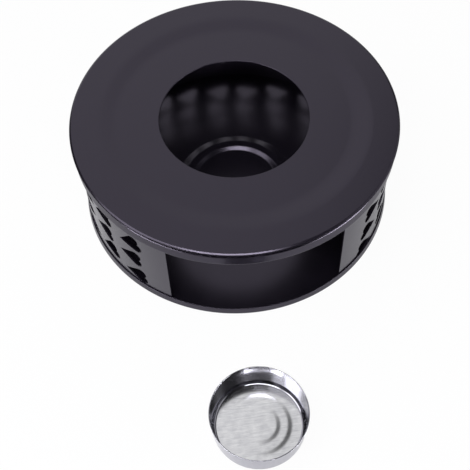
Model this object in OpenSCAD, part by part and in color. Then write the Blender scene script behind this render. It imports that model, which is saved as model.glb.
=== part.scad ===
// Teapot warmer: a rolled sheet wall between a pressed top plate and a base pan, with a loose candle cup.
// Millimetres, +Z up. The origin is on the warmer's axis at table level, and the window faces -Y.

/* [Top plate] */
// Diameter over the rounded edge
plate_d = 140; // [125:1:160]
// Height of the top face above the table
top_h = 49; // [42:0.5:70]
// Thickness of the top plate's sheet
plate_t = 0.8; // [0.6:0.1:1]
// Diameter of the opening over the flame
opening_d = 64; // [50:1:80]
// Diameter of the flat, sunken pot seat
seat_d = 101; // [90:1:104]
// Depth of the pot seat below the outer rim
seat_depth = 0.8; // [0.4:0.1:1.6]
// Width of the slope round the pot seat
seat_slope_w = 7; // [4:0.5:8]
// Height of the rounded bead along the edge
bead_h = 2.6; // [2:0.1:3.6]
// How far the skirt stands back from the bead
skirt_setback = 0.4; // [0.2:0.1:0.6]
// Height of the skirt below the bead
skirt_h = 5.2; // [3:0.2:8]

/* [Wall band] */
// Thickness of the wall strip
wall_t = 0.6; // [0.4:0.1:1]
// Radial gap between the wall and the skirt
skirt_clearance = 0.8; // [0.3:0.1:1.5]
// Straight width of the window between the ends of the wall
window_w = 73; // [50:1:90]

/* [Heart cut-outs] */
// Diameter of the two lobes of a heart
lobe_d = 5.4; // [4:0.2:6]
// How far the two lobes of a heart overlap
lobe_overlap = 1; // [0.4:0.2:2]
// Drop from the centres of the lobes to the tip
tip_drop = 9.3; // [6:0.1:10]
// Height of the lowest row of hearts above the table
first_row_z = 8; // [7.5:0.5:14]
// Height from one row of hearts to the next
row_pitch = 12; // [12:0.5:20]
// Least distance along the wall from one column of hearts to the next
column_pitch = 15.5; // [14.5:0.5:40]
// Plain length of wall from the window to the middle of the first column
heart_margin = 18.2; // [12:0.2:40]

/* [Base pan] */
// Thickness of the pan's sheet
pan_t = 0.8; // [0.6:0.1:1]
// Height of the pan's rim above the table
rim_h = 4.4; // [3:0.2:8]
// Outside radius of the bend at the foot of the rim
rim_bend_r = 1; // [0.6:0.1:2]
// Radial gap between the wall and the pan's rim
rim_clearance = 0.3; // [0.2:0.1:0.8]
// Height of the raised ring above the pan's floor
ring_h = 1.2; // [0.8:0.1:2]
// Width of the slope on the inside of the ring
ring_inner_w = 2.1; // [1.4:0.1:3.5]
// Width of the flat crown of the ring
ring_crown_w = 3; // [2:0.2:5]
// Width of the slope on the outside of the ring
ring_outer_w = 3.4; // [2:0.2:6]

/* [Candle cup] */
// Outside diameter of the cup's mouth
mouth_d = 39.4; // [38.2:0.2:44]
// Outside diameter of the cup's foot
foot_d = 37.2; // [34:0.2:38]
// Height of the cup
cup_h = 12.6; // [9:0.2:18]
// Thickness of the cup's sheet
cup_t = 0.4; // [0.3:0.1:0.8]
// Outside radius of the bend at the cup's foot
foot_bend_r = 1.6; // [1.2:0.1:3]
// Radial gap between the cup's foot and the raised ring
cup_clearance = 0.4; // [0.2:0.1:1]
// Distance from the warmer's axis forward to the cup's axis
cup_forward = 119; // [105:1:160]
// Distance from the warmer's axis to the right to the cup's axis
cup_right = -8.6; // [-40:0.2:40]

/* [Hidden] */
$fn = 96;

// Turn in degrees, shift along the wall and rise in millimetres of each heart, up one column after another
heart_places = [
    [276, 0.4, 0.4], [271, -1.3, 1.1], [290, -0.5, 0], [288, -0.3, -0.1], [275, -2.4, -0.4], [285, -1.9, -1.4],
    [80, 0.3, 0], [95, -1, 0.6], [85, 0.3, -0.5], [80, -0.3, -1.7], [76, 1.1, -2.3], [86, 2.2, -1.6],
    [285, -0.8, 0.4], [75, 0.6, -0.2], [265, -0.5, 0.6], [100, 0.9, 0.2], [290, -0.6, -0.2]
];
// Lifts of the columns, in millimetres, from each side of the window to the back
column_lifts = [0, 3.5, 1, 5, 2, 6, 2, 5, 3, 6, 5.5];
// Segments in each round of an outline
round_steps = 10;
// Overshoot of a cut past the sheet
cut_over = 1;

plate_r = plate_d / 2;
skirt_r = plate_r - skirt_setback;
skirt_low_z = top_h - bead_h - skirt_h;
plate_under_z = top_h - plate_t;

wall_r = skirt_r - plate_t - skirt_clearance;
window_half_angle = asin(window_w / 2 / wall_r);
wall_angle = 360 - 2 * window_half_angle;

heart_h = tip_drop + lobe_d / 2;
heart_rows = floor((skirt_low_z - heart_h / 2 - first_row_z) / row_pitch) + 1;
margin_angle = heart_margin / wall_r * 180 / PI;
columns_angle = wall_angle - 2 * margin_angle;
columns_arc = columns_angle * PI / 180 * wall_r;
heart_columns = floor(columns_arc / column_pitch) + 1;
column_angle = columns_angle / (heart_columns - 1);

rim_in_r = wall_r + rim_clearance;
rim_out_r = rim_in_r + pan_t;
cup_seat_r = foot_d / 2 + cup_clearance;

// Points of an arc from angle a to angle b
function arc(centre, r, a, b, steps) =
    [for (i = [0:steps])
        let (t = a + (b - a) * i / steps)
        centre + r * [cos(t), sin(t)]];

// Lift of a column, the same on both sides of the back
function lift(column) =
    let (from_window = min(column, heart_columns - 1 - column))
    column_lifts[from_window % len(column_lifts)];

// Half section of the plate: seat, slope, rim, bead and skirt, then back along the underside
module top_plate_profile() {
    bead_r = bead_h / 2;
    bead_centre = [plate_r - bead_r, top_h - bead_r];
    bead_end_a = -acos((skirt_r - bead_centre.x) / bead_r);
    opening_r = opening_d / 2;
    seat_r = seat_d / 2;
    slope_r = seat_r + seat_slope_w;
    seat_z = top_h - seat_depth;
    skirt_in_r = skirt_r - plate_t;
    upper = [[opening_r, seat_z], [seat_r, seat_z], [slope_r, top_h]];
    bead = arc(bead_centre, bead_r, 90, bead_end_a, round_steps);
    skirt = [[skirt_r, skirt_low_z], [skirt_in_r, skirt_low_z], [skirt_in_r, plate_under_z]];
    lower = [[slope_r, plate_under_z], [seat_r, seat_z - plate_t], [opening_r, seat_z - plate_t]];
    polygon(concat(upper, bead, skirt, lower));
}

module top_plate() {
    color("#3d3a42")
        rotate_extrude() top_plate_profile();
}

// A heart with its tip down, centred on half its height
module heart() {
    lobe_r = lobe_d / 2;
    half_spacing = (lobe_d - lobe_overlap) / 2;
    lobe_y = tip_drop - heart_h / 2;
    reach = norm([half_spacing, tip_drop]);
    // Angle at which the side of the heart leaves the lobe, and at which the two lobes meet
    side_a = atan2(-tip_drop, -half_spacing) + acos(lobe_r / reach);
    notch_a = 180 - acos(half_spacing / lobe_r);
    right = arc([half_spacing, lobe_y], lobe_r, side_a, notch_a, round_steps);
    left = [for (i = [round_steps - 1:-1:0]) [-right[i].x, right[i].y]];
    polygon(concat([[0, lobe_y - tip_drop]], right, left));
}

module heart_cut(angle, z, turn) {
    rotate(angle)
        translate([0, cut_over - wall_r + wall_t, z])
            rotate([90, 0, 0])
                linear_extrude(wall_t + 2 * cut_over) rotate(turn) heart();
}

module wall_band() {
    first_angle = -window_half_angle - margin_angle;
    color("#55535a")
        difference() {
            rotate(-90 + window_half_angle)
                rotate_extrude(angle = wall_angle)
                    translate([wall_r - wall_t, pan_t]) square([wall_t, plate_under_z - pan_t]);
            for (column = [0:heart_columns - 1], row = [0:heart_rows - 1]) {
                place = heart_places[(column * heart_rows + row) % len(heart_places)];
                angle = first_angle - column * column_angle + place[1] / wall_r * 180 / PI;
                heart_cut(angle, first_row_z + row * row_pitch + lift(column) + place[2], place[0]);
            }
        }
}

// Half section of the pan: the floor with its raised ring, the rim, then back along the underside
module base_pan_profile() {
    crown_in_r = cup_seat_r + ring_inner_w;
    crown_out_r = crown_in_r + ring_crown_w;
    ring_out_r = crown_out_r + ring_outer_w;
    under = [[0, 0], [cup_seat_r, 0], [crown_in_r, ring_h], [crown_out_r, ring_h], [ring_out_r, 0]];
    floor_top = [for (i = [len(under) - 1:-1:0]) under[i] + [0, pan_t]];
    foot = arc([rim_out_r - rim_bend_r, rim_bend_r], rim_bend_r, -90, 0, round_steps);
    rim = [[rim_out_r, rim_h], [rim_in_r, rim_h], [rim_in_r, pan_t]];
    polygon(concat(under, foot, rim, floor_top));
}

module base_pan() {
    color("#55535a")
        rotate_extrude() base_pan_profile();
}

module candle_cup() {
    foot_r = foot_d / 2;
    mouth_r = mouth_d / 2;
    taper = atan((mouth_r - foot_r) / (cup_h - foot_bend_r));
    bend_centre = [foot_r - foot_bend_r, foot_bend_r];
    outside = arc(bend_centre, foot_bend_r, -90, -taper, round_steps);
    lip = [[mouth_r, cup_h], [mouth_r - cup_t, cup_h]];
    inside = arc(bend_centre, foot_bend_r - cup_t, -taper, -90, round_steps);
    color("#c9c9cd")
        translate([cup_right, -cup_forward, 0])
            rotate_extrude()
                polygon(concat([[0, 0]], outside, lip, inside, [[0, cup_t]]));
}

top_plate();
wall_band();
base_pan();
candle_cup();
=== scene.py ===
import math
import bmesh
import bpy
from mathutils import Matrix, Vector


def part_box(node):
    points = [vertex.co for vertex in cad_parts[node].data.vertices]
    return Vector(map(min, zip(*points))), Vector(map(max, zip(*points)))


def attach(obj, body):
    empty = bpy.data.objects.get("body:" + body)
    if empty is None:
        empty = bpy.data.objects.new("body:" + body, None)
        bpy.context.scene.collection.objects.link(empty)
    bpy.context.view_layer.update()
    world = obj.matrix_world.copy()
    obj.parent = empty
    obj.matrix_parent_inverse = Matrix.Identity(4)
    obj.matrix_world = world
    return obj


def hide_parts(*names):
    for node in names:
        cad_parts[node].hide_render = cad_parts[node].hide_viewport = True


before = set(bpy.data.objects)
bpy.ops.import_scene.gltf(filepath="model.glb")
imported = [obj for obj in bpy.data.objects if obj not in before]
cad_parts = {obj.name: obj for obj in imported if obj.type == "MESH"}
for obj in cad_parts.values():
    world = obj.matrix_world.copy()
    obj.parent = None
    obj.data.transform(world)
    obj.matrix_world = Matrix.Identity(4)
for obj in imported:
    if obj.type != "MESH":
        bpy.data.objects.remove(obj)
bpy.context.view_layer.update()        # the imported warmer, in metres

mm = 0.001
scene = bpy.context.scene

plateLow, plateHigh = (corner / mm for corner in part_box("top_plate"))
wallLow, wallHigh = (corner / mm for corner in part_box("wall_band"))
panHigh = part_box("base_pan")[1] / mm
cupLow, cupHigh = (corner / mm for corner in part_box("candle_cup"))
print("frame loaded: plate", round(plateHigh.x * 2, 1), "mm across,", round(plateHigh.z, 1), "mm high")


# Colour and node helpers

def linear(hexColour):   # sRGB hex to linear RGBA
    channels = [int(hexColour[i:i + 2], 16) / 255 for i in (1, 3, 5)]
    return [c / 12.92 if c <= 0.04045 else ((c + 0.055) / 1.055) ** 2.4 for c in channels] + [1]


def addNode(tree, kind, settings=None, links=None):   # links: input name or number -> output socket
    node = tree.nodes.new(kind)
    for name, value in (settings or {}).items():
        if isinstance(name, str) and hasattr(node, name):
            setattr(node, name, value)
        else:
            node.inputs[name].default_value = value
    for name, socket in (links or {}).items():
        tree.links.new(socket, node.inputs[name])
    return node


def newMaterial(name):
    material = bpy.data.materials.new(name)
    material.use_nodes = True
    material.node_tree.nodes.clear()
    return material, material.node_tree


def layFinish(tree, look, fixed, colourBy, roughBy, height=None):   # fixed: what is the same all over
    first, second = (linear(colour) for colour in look["colours"])
    smoothest, roughest = look["rough"]
    colour = addNode(tree, "ShaderNodeMix", {"data_type": "RGBA", 6: first, 7: second},   # colour inputs A and B
                     {0: colourBy})
    rough = addNode(tree, "ShaderNodeMapRange", {"To Min": smoothest, "To Max": roughest}, {"Value": roughBy})
    links = {"Base Color": colour.outputs[2], "Roughness": rough.outputs[0]}
    if height is not None:
        bump = addNode(tree, "ShaderNodeBump", {"Strength": 1, "Distance": look["depth"] * mm}, {"Height": height})
        links["Normal"] = bump.outputs[0]
    shader = addNode(tree, "ShaderNodeBsdfPrincipled", fixed, links)
    addNode(tree, "ShaderNodeOutputMaterial", links={"Surface": shader.outputs[0]})


# Satin black powder coat on steel sheet: near black by itself, so its grey is the room seen in the smooth
# resin skin, a little soft because the baked powder keeps a fine grain.
blackCoat = {
    "colours": ("#0d0b11", "#131018"),        # pigment, thin and thick
    "rough": (0.21, 0.27),
    "ior": 1.6, "tint": "#ede2ff",            # epoxy resin, with the pigment's violet cast
    "cloud": 9.0, "cloudDetail": 3,           # mm, slow change of film thickness
    "grain": 0.5, "grainDetail": 2,           # mm, drawn coarser than the real 0.1 mm so that it shows
    "depth": 0.004,                           # mm, of the grain
}


def powderCoat(look):
    material, tree = newMaterial("satinBlackPowderCoat")
    place = addNode(tree, "ShaderNodeTexCoord").outputs["Object"]
    cloud = addNode(tree, "ShaderNodeTexNoise",
                    {"Scale": 1 / (look["cloud"] * mm), "Detail": look["cloudDetail"]}, {"Vector": place})
    grain = addNode(tree, "ShaderNodeTexNoise",
                    {"Scale": 1 / (look["grain"] * mm), "Detail": look["grainDetail"]}, {"Vector": place})
    layFinish(tree, look, {"IOR": look["ior"], "Specular Tint": linear(look["tint"])},
              cloud.outputs["Fac"], cloud.outputs["Fac"], grain.outputs["Fac"])
    return material


# Bright steel sheet as it leaves the drawing press: mirror-like walls with faint streaks along the draw.
drawnSteel = {
    "colours": ("#b2b1b9", "#9e9da7"),        # bright and dull streaks
    "rough": (0.07, 0.12),
    "streak": 1.5, "streakDetail": 3,         # mm wide, drawn coarser than real draw marks so that it shows
    "streakLong": 20,                         # times its width
}


def drawnMetal(look):
    material, tree = newMaterial("brightDrawnSteel")
    place = addNode(tree, "ShaderNodeTexCoord").outputs["Object"]
    along = addNode(tree, "ShaderNodeMapping", {"Scale": (1, 1, 1 / look["streakLong"])}, {"Vector": place})
    streak = addNode(tree, "ShaderNodeTexNoise",
                     {"Scale": 1 / (look["streak"] * mm), "Detail": look["streakDetail"]},
                     {"Vector": along.outputs[0]})
    layFinish(tree, look, {"Metallic": 1}, streak.outputs["Fac"], streak.outputs["Fac"])
    return material


# The same sheet where the punch held it flat, satin brushed. The pale, streaky sheen that the room gives in it
# is painted into its colour as brushing streaks and blotches; the brushing is also a faint bump.
brushedSteel = {
    "colours": ("#ffffff", "#adadb6"),        # ends of a mix of painted sheen, which the brushing and the blotches don't reach
    "rough": (0.11, 0.19),
    "brush": 0.5, "brushDetail": 3,           # mm wide, drawn coarser than real brushing so that it shows
    "brushLong": 12.5,                        # times its width
    "depth": 0.0012,                          # mm, of the brushing
    "blotch": 3, "blotchDetail": 4,           # mm, painted blotches of sheen in the colour, and uneven roughness
    "brushShare": 0.6, "blotchShare": 0.4,    # of each in the colour, as painted sheen
}


def brushedMetal(look, centre):
    material, tree = newMaterial("satinBrushedSteel")
    place = addNode(tree, "ShaderNodeTexCoord").outputs["Object"]
    centred = addNode(tree, "ShaderNodeMapping", {"Location": (-centre.x * mm, -centre.y * mm, 0)},
                      {"Vector": place})
    blotch = addNode(tree, "ShaderNodeTexNoise",
                     {"Scale": 1 / (look["blotch"] * mm), "Detail": look["blotchDetail"]}, {"Vector": place})
    along = addNode(tree, "ShaderNodeMapping", {"Scale": (1 / look["brushLong"], 1, 1)},
                    {"Vector": centred.outputs[0]})
    brush = addNode(tree, "ShaderNodeTexNoise",
                    {"Scale": 1 / (look["brush"] * mm), "Detail": look["brushDetail"]},
                    {"Vector": along.outputs[0]})
    # painted sheen: the brushing streaks and the blotches lighten and darken the metal's colour
    uneven = addNode(tree, "ShaderNodeMath", {"operation": "MULTIPLY", 1: look["blotchShare"]},
                     {0: blotch.outputs["Fac"]})
    tone = addNode(tree, "ShaderNodeMath", {"operation": "MULTIPLY_ADD", 1: look["brushShare"]},
                   {0: brush.outputs["Fac"], 2: uneven.outputs[0]})
    layFinish(tree, look, {"Metallic": 1}, tone.outputs[0], blotch.outputs["Fac"], brush.outputs["Fac"])
    return material


# Mesh helpers

turning = {
    "cornerSegments": 6,     # in each rounded corner of a half section
    "join": 1e-7,            # metres, points closer than this are one
    "sharpFrom": 40,         # degrees, corners left square shade as two faces
    "faceWeight": 100,       # flats stay flat beside small roundings
}


def turnSection(corners, steps):   # corners: (radius, height, rounding) of a half section, in mm
    bm = bmesh.new()
    verts = [bm.verts.new((radius * mm, 0, height * mm)) for radius, height, rounding in corners]
    bm.faces.new(verts)
    for vert, (radius, height, rounding) in zip(verts, corners):
        if rounding:
            bmesh.ops.bevel(bm, geom=[vert], offset=rounding * mm, offset_type="OFFSET", affect="VERTICES",
                            segments=turning["cornerSegments"], profile=0.5, material=-1)
    onAxis = [edge for edge in bm.edges if all(vert.co.x < turning["join"] for vert in edge.verts)]
    bmesh.ops.delete(bm, geom=bm.faces[:], context="FACES_ONLY")
    bmesh.ops.delete(bm, geom=onAxis, context="EDGES")
    bmesh.ops.spin(bm, geom=bm.verts[:] + bm.edges[:], cent=(0, 0, 0), axis=(0, 0, 1), angle=math.tau,
                   steps=steps, use_merge=True)
    bmesh.ops.remove_doubles(bm, verts=bm.verts[:], dist=turning["join"])
    bmesh.ops.recalc_face_normals(bm, faces=bm.faces[:])
    for edge in bm.edges:
        edge.smooth = edge.calc_face_angle(0) < math.radians(turning["sharpFrom"])
    return bm


def newObject(bm, name, materials):
    mesh = bpy.data.meshes.new(name)
    bm.to_mesh(mesh)
    bm.free()
    for material in materials:
        mesh.materials.append(material)
    made = bpy.data.objects.new(name, mesh)
    scene.collection.objects.link(made)
    print("made", name, "with", len(mesh.polygons), "faces")
    return made


def finishPiece(bm, name, body, node, materials):
    piece = newObject(bm, name, materials)
    piece.data.shade_smooth()
    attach(piece, body)
    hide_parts(node)
    return piece


def weightNormals(piece):
    modifier = piece.modifiers.new("weightNormals", "WEIGHTED_NORMAL")
    modifier.weight = turning["faceWeight"]
    modifier.keep_sharp = True


coat = powderCoat(blackCoat)

# Top plate: seat, slope, rim and skirt of one pressed sheet, folded at the edge so that a dark seam runs
# under the rim
topPlate = {
    "sheet": 0.8, "opening": 64, "seat": 101, "seatDepth": 0.8, "slope": 7,   # mm, opening and seat are diameters
    "pressRounding": 1.5,                                                     # at the foot and the head of the slope
    "crownWide": 0.95, "crownDrop": 0.37, "crownRounding": 0.1,               # narrow slope along the rim's edge
    "crownFootIn": 0.3, "crownFootRounding": 0.08,
    "lipDrop": 0.62, "lipIn": 0.05, "lipTuck": 0.2, "lipRounding": 0.04,      # outermost edge, tucked in below
    "seamDeep": 1.75, "seamHigh": 2.93, "seamSheet": 0.2,                     # fold under the rim
    "shoulderWide": 0.22, "shoulderHigh": 0.3, "shoulderRounding": 0.03,      # head of the skirt
    "flare": 0.75, "setback": 0.4, "neckThin": 0.05,                          # skirt, wider at its foot
    "edge": 0.25, "hemRounding": 0.7, "hemInside": 0.08, "steps": 256,
}


def makeTopPlate(size):
    sheet, edge, press = size["sheet"], size["edge"], size["pressRounding"]
    lip, shoulder = size["lipRounding"], size["shoulderRounding"]
    outer, top, low = plateHigh.x, plateHigh.z, plateLow.z
    seatZ = top - size["seatDepth"]
    openR, seatR = size["opening"] / 2, size["seat"] / 2
    slopeR = seatR + size["slope"]
    skirtR = outer - size["setback"]
    neckR = skirtR - size["flare"]
    seamR, seamTop = outer - size["seamDeep"], top - size["lipDrop"] - size["lipTuck"]
    seamLow = seamTop - size["seamHigh"]
    neckZ = seamLow - size["shoulderHigh"]
    seamIn = seamR - size["seamSheet"]
    seat = [(openR, seatZ, edge), (seatR, seatZ, press), (slopeR, top, press)]
    crown = [(outer - size["crownWide"], top, size["crownRounding"]),
             (outer - size["crownFootIn"], top - size["crownDrop"], size["crownFootRounding"]),
             (outer - size["lipIn"], top - size["lipDrop"], lip), (outer - size["lipTuck"], seamTop, lip)]
    seam = [(seamR, seamTop, 0), (seamR, seamLow, 0)]
    skirt = [(neckR - size["shoulderWide"], seamLow, shoulder), (neckR, neckZ, shoulder),
             (skirtR, low, size["hemRounding"]), (skirtR - sheet, low, size["hemInside"]),
             (neckR - sheet + size["neckThin"], neckZ, edge)]
    under = [(seamIn, seamLow, 0), (seamIn, top - sheet, edge), (slopeR, top - sheet, press),
             (seatR, seatZ - sheet, press), (openR, seatZ - sheet, edge)]
    bm = turnSection(seat + crown + seam + skirt + under, size["steps"])
    weightNormals(finishPiece(bm, "topPlate", "warmer", "top_plate", [coat]))


makeTopPlate(topPlate)

# Wall band: a strip punched flat with tumbled hearts, then rolled into a C that leaves the window open
wallBand = {
    "sheet": 0.6, "window": 73,                                               # mm
    "edge": 0.1, "edgeSegments": 2, "edgeFrom": 50,                           # mm, edges sharper than 50 degrees
    "lobe": 5.4, "lobeOverlap": 1, "tipDrop": 9.3, "lobeSteps": 18,
    "firstRow": 8, "rows": 3, "rowPitch": 12, "columnPitch": 15.5, "margin": 18.2,
    "hearts": [                                                               # turn in degrees, shift and rise in mm
        (276, 0.4, 0.4), (271, -1.3, 1.1), (290, -0.5, 0), (288, -0.3, -0.1), (275, -2.4, -0.4), (285, -1.9, -1.4),
        (80, 0.3, 0), (95, -1, 0.6), (85, 0.3, -0.5), (80, -0.3, -1.7), (76, 1.1, -2.3), (86, 2.2, -1.6),
        (285, -0.8, 0.4), (75, 0.6, -0.2), (265, -0.5, 0.6), (100, 0.9, 0.2), (290, -0.6, -0.2)],
    "lifts": [0, 3.5, 1, 5, 2, 6, 2, 5, 3, 6, 5.5],                           # mm, from each side of the window
    "rollStep": 1.7,                                                          # degrees
    "weld": 0.08, "sliver": 0.008,                                            # mm, closes slivers at the roll lines
    "punchJoin": 1e-6, "rollJoin": 1e-8,                                      # metres
}


def heartPunch(size):   # closed outline of one heart, tip down, centred on half its height
    lobeR = size["lobe"] / 2
    half = (size["lobe"] - size["lobeOverlap"]) / 2
    lobeZ = size["tipDrop"] - (size["tipDrop"] + lobeR) / 2
    reach = math.hypot(half, size["tipDrop"])
    sideA = math.atan2(-size["tipDrop"], -half) + math.acos(lobeR / reach)   # where the side leaves the lobe
    notchA = math.pi - math.acos(half / lobeR)                               # where the two lobes meet
    bm = bmesh.new()
    side = bm.verts.new(((half + lobeR * math.cos(sideA)) * mm, 0, (lobeZ + lobeR * math.sin(sideA)) * mm))
    bmesh.ops.spin(bm, geom=[side], cent=(half * mm, 0, lobeZ * mm), axis=(0, -1, 0), angle=notchA - sideA,
                   steps=size["lobeSteps"])
    tip = bm.verts.new((0, 0, (lobeZ - size["tipDrop"]) * mm))
    bm.edges.new((tip, side))
    bmesh.ops.mirror(bm, geom=bm.verts[:] + bm.edges[:], axis="X", merge_dist=size["punchJoin"])
    bmesh.ops.remove_doubles(bm, verts=bm.verts[:], dist=size["punchJoin"])
    mesh = bpy.data.meshes.new("heartPunch")
    bm.to_mesh(mesh)
    bm.free()
    return mesh


def makeWallBand(size):
    radius, low, high = wallHigh.y, wallLow.z, wallHigh.z
    windowA = math.asin(size["window"] / 2 / radius)
    wallA = math.tau - 2 * windowA
    marginA = size["margin"] / radius
    columnsA = wallA - 2 * marginA
    columns = int(columnsA * radius / size["columnPitch"]) + 1
    bm = bmesh.new()
    start, end = windowA * radius, -windowA * radius + math.tau * radius   # of the strip, from the window's middle
    strip = [bm.verts.new((u * mm, 0, z * mm)) for u, z in ((start, low), (start, high), (end, high), (end, low))]
    for i, vert in enumerate(strip):
        bm.edges.new((vert, strip[(i + 1) % len(strip)]))
    punch = heartPunch(size)
    for column in range(columns):
        u = (math.tau - windowA - marginA - column * columnsA / (columns - 1)) * radius
        lift = size["lifts"][min(column, columns - 1 - column) % len(size["lifts"])]
        for row in range(size["rows"]):
            turn, shift, rise = size["hearts"][(column * size["rows"] + row) % len(size["hearts"])]
            z = size["firstRow"] + row * size["rowPitch"] + lift + rise
            before = set(bm.verts)
            bm.from_mesh(punch)
            place = Matrix.Translation(((u + shift) * mm, 0, z * mm)) @ Matrix.Rotation(-math.radians(turn), 4, "Y")
            bmesh.ops.transform(bm, matrix=place, verts=[vert for vert in bm.verts if vert not in before])
    bpy.data.meshes.remove(punch)
    bmesh.ops.triangle_fill(bm, edges=bm.edges[:], use_beauty=True, normal=(0, -1, 0))
    rollSteps = int(math.degrees(wallA) / size["rollStep"])
    for i in range(1, rollSteps):
        u = (windowA + wallA * i / rollSteps) * radius
        bmesh.ops.bisect_plane(bm, geom=bm.verts[:] + bm.edges[:] + bm.faces[:], dist=size["rollJoin"],
                               plane_co=(u * mm, 0, 0), plane_no=(1, 0, 0))
    bmesh.ops.remove_doubles(bm, verts=bm.verts[:], dist=size["weld"] * mm)
    bmesh.ops.dissolve_degenerate(bm, edges=bm.edges[:], dist=size["sliver"] * mm)
    for vert in bm.verts:   # roll the strip, window towards -Y
        a = vert.co.x / (radius * mm)
        vert.co.x, vert.co.y = radius * mm * math.sin(a), -radius * mm * math.cos(a)
    bmesh.ops.recalc_face_normals(bm, faces=bm.faces[:])
    outwards = bm.faces[0].calc_center_median()
    if bm.faces[0].normal.dot(Vector((outwards.x, outwards.y, 0))) < 0:
        bmesh.ops.reverse_faces(bm, faces=bm.faces[:])
    piece = finishPiece(bm, "wallBand", "warmer", "wall_band", [coat])
    thick = piece.modifiers.new("sheetThickness", "SOLIDIFY")
    thick.thickness, thick.offset = size["sheet"] * mm, -1   # inwards
    soften = piece.modifiers.new("punchedEdges", "BEVEL")
    soften.width, soften.segments = size["edge"] * mm, size["edgeSegments"]
    soften.limit_method, soften.angle_limit = "ANGLE", math.radians(size["edgeFrom"])
    soften.harden_normals = True


makeWallBand(wallBand)

# Base pan: a flat floor with a raised ring for the cup, and a low rim round the wall's foot
basePan = {
    "sheet": 0.8, "bend": 1, "cupSeat": 38,                                   # mm, the cup's seat is a diameter
    "ringInner": 1.95, "ringCrown": 3.15, "ringOuter": 3.4,                   # widths of the ring's slopes and crown
    "ringHeight": 1.2, "ringRounding": 0.3,
    "rimGap": 0.05, "rimEdge": 0.45, "rimLower": 0.8, "rimRounding": 0.15,    # rim pressed against the wall's foot
    "steps": 256,
}


def makeBasePan(size):
    sheet, outer, top = size["sheet"], panHigh.x, panHigh.z
    ringIn = size["cupSeat"] / 2
    crownIn = ringIn + size["ringInner"]
    crownOut = crownIn + size["ringCrown"]
    ringOut = crownOut + size["ringOuter"]
    raised, soft = size["ringHeight"], size["ringRounding"]
    ring = [(ringIn, 0, soft), (crownIn, raised, soft), (crownOut, raised, soft), (ringOut, 0, soft)]
    rimIn, rimTop, edge = wallHigh.y + size["rimGap"], top - size["rimLower"], size["rimRounding"]
    rim = [(outer, 0, size["bend"]), (rimIn + size["rimEdge"], rimTop, edge), (rimIn, rimTop, edge),
           (rimIn, sheet, 0)]
    floor = [(radius, height + sheet, rounding) for radius, height, rounding in reversed(ring)]
    bm = turnSection([(0, 0, 0)] + ring + rim + floor + [(0, sheet, 0)], size["steps"])
    weightNormals(finishPiece(bm, "basePan", "warmer", "base_pan", [coat]))


makeBasePan(basePan)

# Candle cup: drawn from thin bright steel, with two shallow round steps in its floor
candleCup = {
    "sheet": 0.4, "foot": 37.2, "bend": 1.6, "lip": 0.19,                     # mm, the foot is a diameter
    "floorSteps": ((13.2, 11.4), (8.6, 6.8)), "stepHeight": 0.1,              # radii of the foot and the top of each
    "stepRounding": 0.5, "steps": 192,
}


def makeCandleCup(size):
    sheet, footR, bend, lip = size["sheet"], size["foot"] / 2, size["bend"], size["lip"]
    centre = (cupLow + cupHigh) / 2
    mouthR, height = (cupHigh.x - cupLow.x) / 2, cupHigh.z
    floor, floorZ, soft = [], sheet, size["stepRounding"]
    for stepFoot, stepTop in size["floorSteps"]:
        floor += [(stepFoot, floorZ, soft), (stepTop, floorZ + size["stepHeight"], soft)]
        floorZ += size["stepHeight"]
    wall = [(footR, 0, bend), (mouthR, height, lip), (mouthR - sheet, height, lip),
            (footR - sheet, sheet, bend - sheet)]
    bm = turnSection([(0, 0, 0)] + wall + floor + [(0, floorZ, 0)], size["steps"])
    for face in bm.faces:
        middle = face.calc_center_median() / mm
        onFloor = math.hypot(middle.x, middle.y) < footR - bend and middle.z > sheet / 2
        face.material_index = 1 if onFloor else 0   # brushed floor, drawn wall
    bmesh.ops.translate(bm, verts=bm.verts[:], vec=(centre.x * mm, centre.y * mm, 0))
    piece = finishPiece(bm, "candleCup", "cup", "candle_cup",
                        [drawnMetal(drawnSteel), brushedMetal(brushedSteel, centre)])
    weightNormals(piece)


makeCandleCup(candleCup)


# Stage: a pale floor that is white to the eye and partly so in reflections, with a soft shadow
stage = {
    "floorSize": 6, "floorDrop": 0.05,         # metres across, mm below the warmer
    "floorColour": "#f0f0f4",
    "white": 0.95, "whiteInGloss": 0.45,       # share of plain white to the camera and in reflections
}


def makeFloor(setup):
    material, tree = newMaterial("paleStudioFloor")
    path = addNode(tree, "ShaderNodeLightPath")
    inGloss = addNode(tree, "ShaderNodeMath", {"operation": "MAXIMUM"},
                      {0: path.outputs["Is Glossy Ray"], 1: path.outputs["Is Transmission Ray"]})
    direct = addNode(tree, "ShaderNodeMath", {"operation": "MULTIPLY", 1: setup["white"]},
                     {0: path.outputs["Is Camera Ray"]})
    share = addNode(tree, "ShaderNodeMath", {"operation": "MULTIPLY_ADD", 1: setup["whiteInGloss"]},
                    {0: inGloss.outputs[0], 2: direct.outputs[0]})
    matt = addNode(tree, "ShaderNodeBsdfDiffuse", {"Color": linear(setup["floorColour"])})
    white = addNode(tree, "ShaderNodeEmission", {"Color": (1, 1, 1, 1), "Strength": 1})
    mix = addNode(tree, "ShaderNodeMixShader", links={0: share.outputs[0], 1: matt.outputs[0], 2: white.outputs[0]})
    addNode(tree, "ShaderNodeOutputMaterial", links={"Surface": mix.outputs[0]})
    bm = bmesh.new()
    bmesh.ops.create_grid(bm, x_segments=1, y_segments=1, size=setup["floorSize"] / 2)
    bmesh.ops.translate(bm, verts=bm.verts[:], vec=(0, 0, -setup["floorDrop"] * mm))
    newObject(bm, "studioFloor", [material])


makeFloor(stage)

# Light: a long box overhead, a square one high on the left and a low strip at each side of the front
light = {
    "key": {"place": (-0.12, -0.44, 0.865), "size": (0.6, 0.115), "watts": 3.9},   # metres
    "leftBox": {"place": (-0.66, -0.12, 0.68), "size": (0.5, 0.5), "watts": 2.5},
    "leftStrip": {"place": (-0.78, -0.54, 0.115), "size": (0.5, 0.16), "watts": 3.5},
    "rightStrip": {"place": (0.77, -0.56, 0.09), "size": (0.6, 0.16), "watts": 5.6},
}


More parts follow.
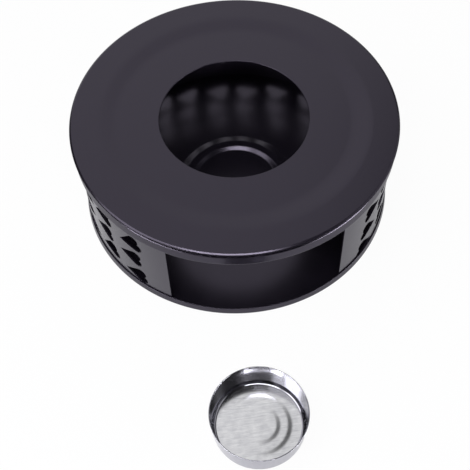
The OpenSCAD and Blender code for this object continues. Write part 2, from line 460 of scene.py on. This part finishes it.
def makeLights(lamps):
    for name, setup in lamps.items():
        lamp = bpy.data.lights.new(name, "AREA")
        lamp.shape = "RECTANGLE"
        lamp.size, lamp.size_y = setup["size"]
        lamp.energy = setup["watts"]
        holder = bpy.data.objects.new(name, lamp)
        holder.location = setup["place"]
        holder.rotation_euler = (-Vector(setup["place"])).to_track_quat("-Z", "Y").to_euler()
        scene.collection.objects.link(holder)
    print("placed", len(lamps), "lamps")


makeLights(light)

# Room: white to the camera. In reflections it is dark, with a white panel behind and overhead that ends at the
# far left, and a paler panel low on the right. Each ramp runs along a direction, between two cosines.
room = {
    "dark": 0.03,
    "ramps": {
        "panel": {"towards": (-0.85, 0.5, 0.12), "between": (0.13, 0.19), "levels": (0, 1)},
        "panelEnd": {"towards": (-1, 0, 0), "between": (0.5, 0.7), "levels": (0.88, 0.03)},
        "lowPanel": {"towards": (0.9, 0.05, 0.43), "between": (0.8, 0.92), "levels": (0, 0.6)},
    },
}


def makeRoom(setup):
    world = bpy.data.worlds.new("studioRoom")
    scene.world = world
    world.use_nodes = True
    tree = world.node_tree
    tree.nodes.clear()
    direction = addNode(tree, "ShaderNodeTexCoord").outputs["Generated"]
    levels = {}
    for name, ramp in setup["ramps"].items():
        (begins, ends), (first, last) = ramp["between"], ramp["levels"]
        cosine = addNode(tree, "ShaderNodeVectorMath",
                         {"operation": "DOT_PRODUCT", 1: Vector(ramp["towards"]).normalized()}, {0: direction})
        level = addNode(tree, "ShaderNodeMapRange",
                        {"interpolation_type": "SMOOTHSTEP", "From Min": begins, "From Max": ends,
                         "To Min": first, "To Max": last}, {"Value": cosine.outputs["Value"]})
        levels[name] = level.outputs[0]
    panel = addNode(tree, "ShaderNodeMath", {"operation": "MULTIPLY"}, {0: levels["panel"], 1: levels["panelEnd"]})
    walls = addNode(tree, "ShaderNodeMath", {"operation": "MAXIMUM", 1: setup["dark"]}, {0: panel.outputs[0]})
    both = addNode(tree, "ShaderNodeMath", {"operation": "MAXIMUM"}, {0: walls.outputs[0], 1: levels["lowPanel"]})
    path = addNode(tree, "ShaderNodeLightPath")
    strength = addNode(tree, "ShaderNodeMath", {"operation": "MAXIMUM"},
                       {0: both.outputs[0], 1: path.outputs["Is Camera Ray"]})
    sky = addNode(tree, "ShaderNodeBackground", {"Color": (1, 1, 1, 1)}, {"Strength": strength.outputs[0]})
    addNode(tree, "ShaderNodeOutputWorld", links={"Surface": sky.outputs[0]})
    print("room lit by", len(levels), "ramps")


makeRoom(room)

# Camera, as fitted to the photo's round edges
view = {
    "azimuth": -7.1, "elevation": 53.87, "distance": 448.4,    # degrees, mm
    "pan": -0.165, "tilt": -3.061, "roll": -1.744,             # degrees
    "focalPixels": 960.3, "framePixels": 470, "sensor": 36,    # the sensor in mm
}


def makeCamera(setup):
    data = bpy.data.cameras.new("photoCamera")
    data.sensor_width = setup["sensor"]
    data.lens = setup["sensor"] * setup["focalPixels"] / setup["framePixels"]
    camera = bpy.data.objects.new("photoCamera", data)
    azimuth, elevation = math.radians(setup["azimuth"]), math.radians(setup["elevation"])
    pan, tilt, roll = (math.radians(setup[name]) for name in ("pan", "tilt", "roll"))
    facing = Matrix.Rotation(azimuth, 4, "Z") @ Matrix.Rotation(math.pi / 2 - elevation, 4, "X")
    back = Matrix.Translation((0, 0, setup["distance"] * mm))
    aim = Matrix.Rotation(-pan, 4, "Y") @ Matrix.Rotation(tilt, 4, "X") @ Matrix.Rotation(roll, 4, "Z")
    camera.matrix_world = facing @ back @ aim
    scene.collection.objects.link(camera)
    scene.camera = camera
    print("camera set, lens", round(data.lens, 1), "mm")


makeCamera(view)
scene.view_settings.view_transform = "Standard"
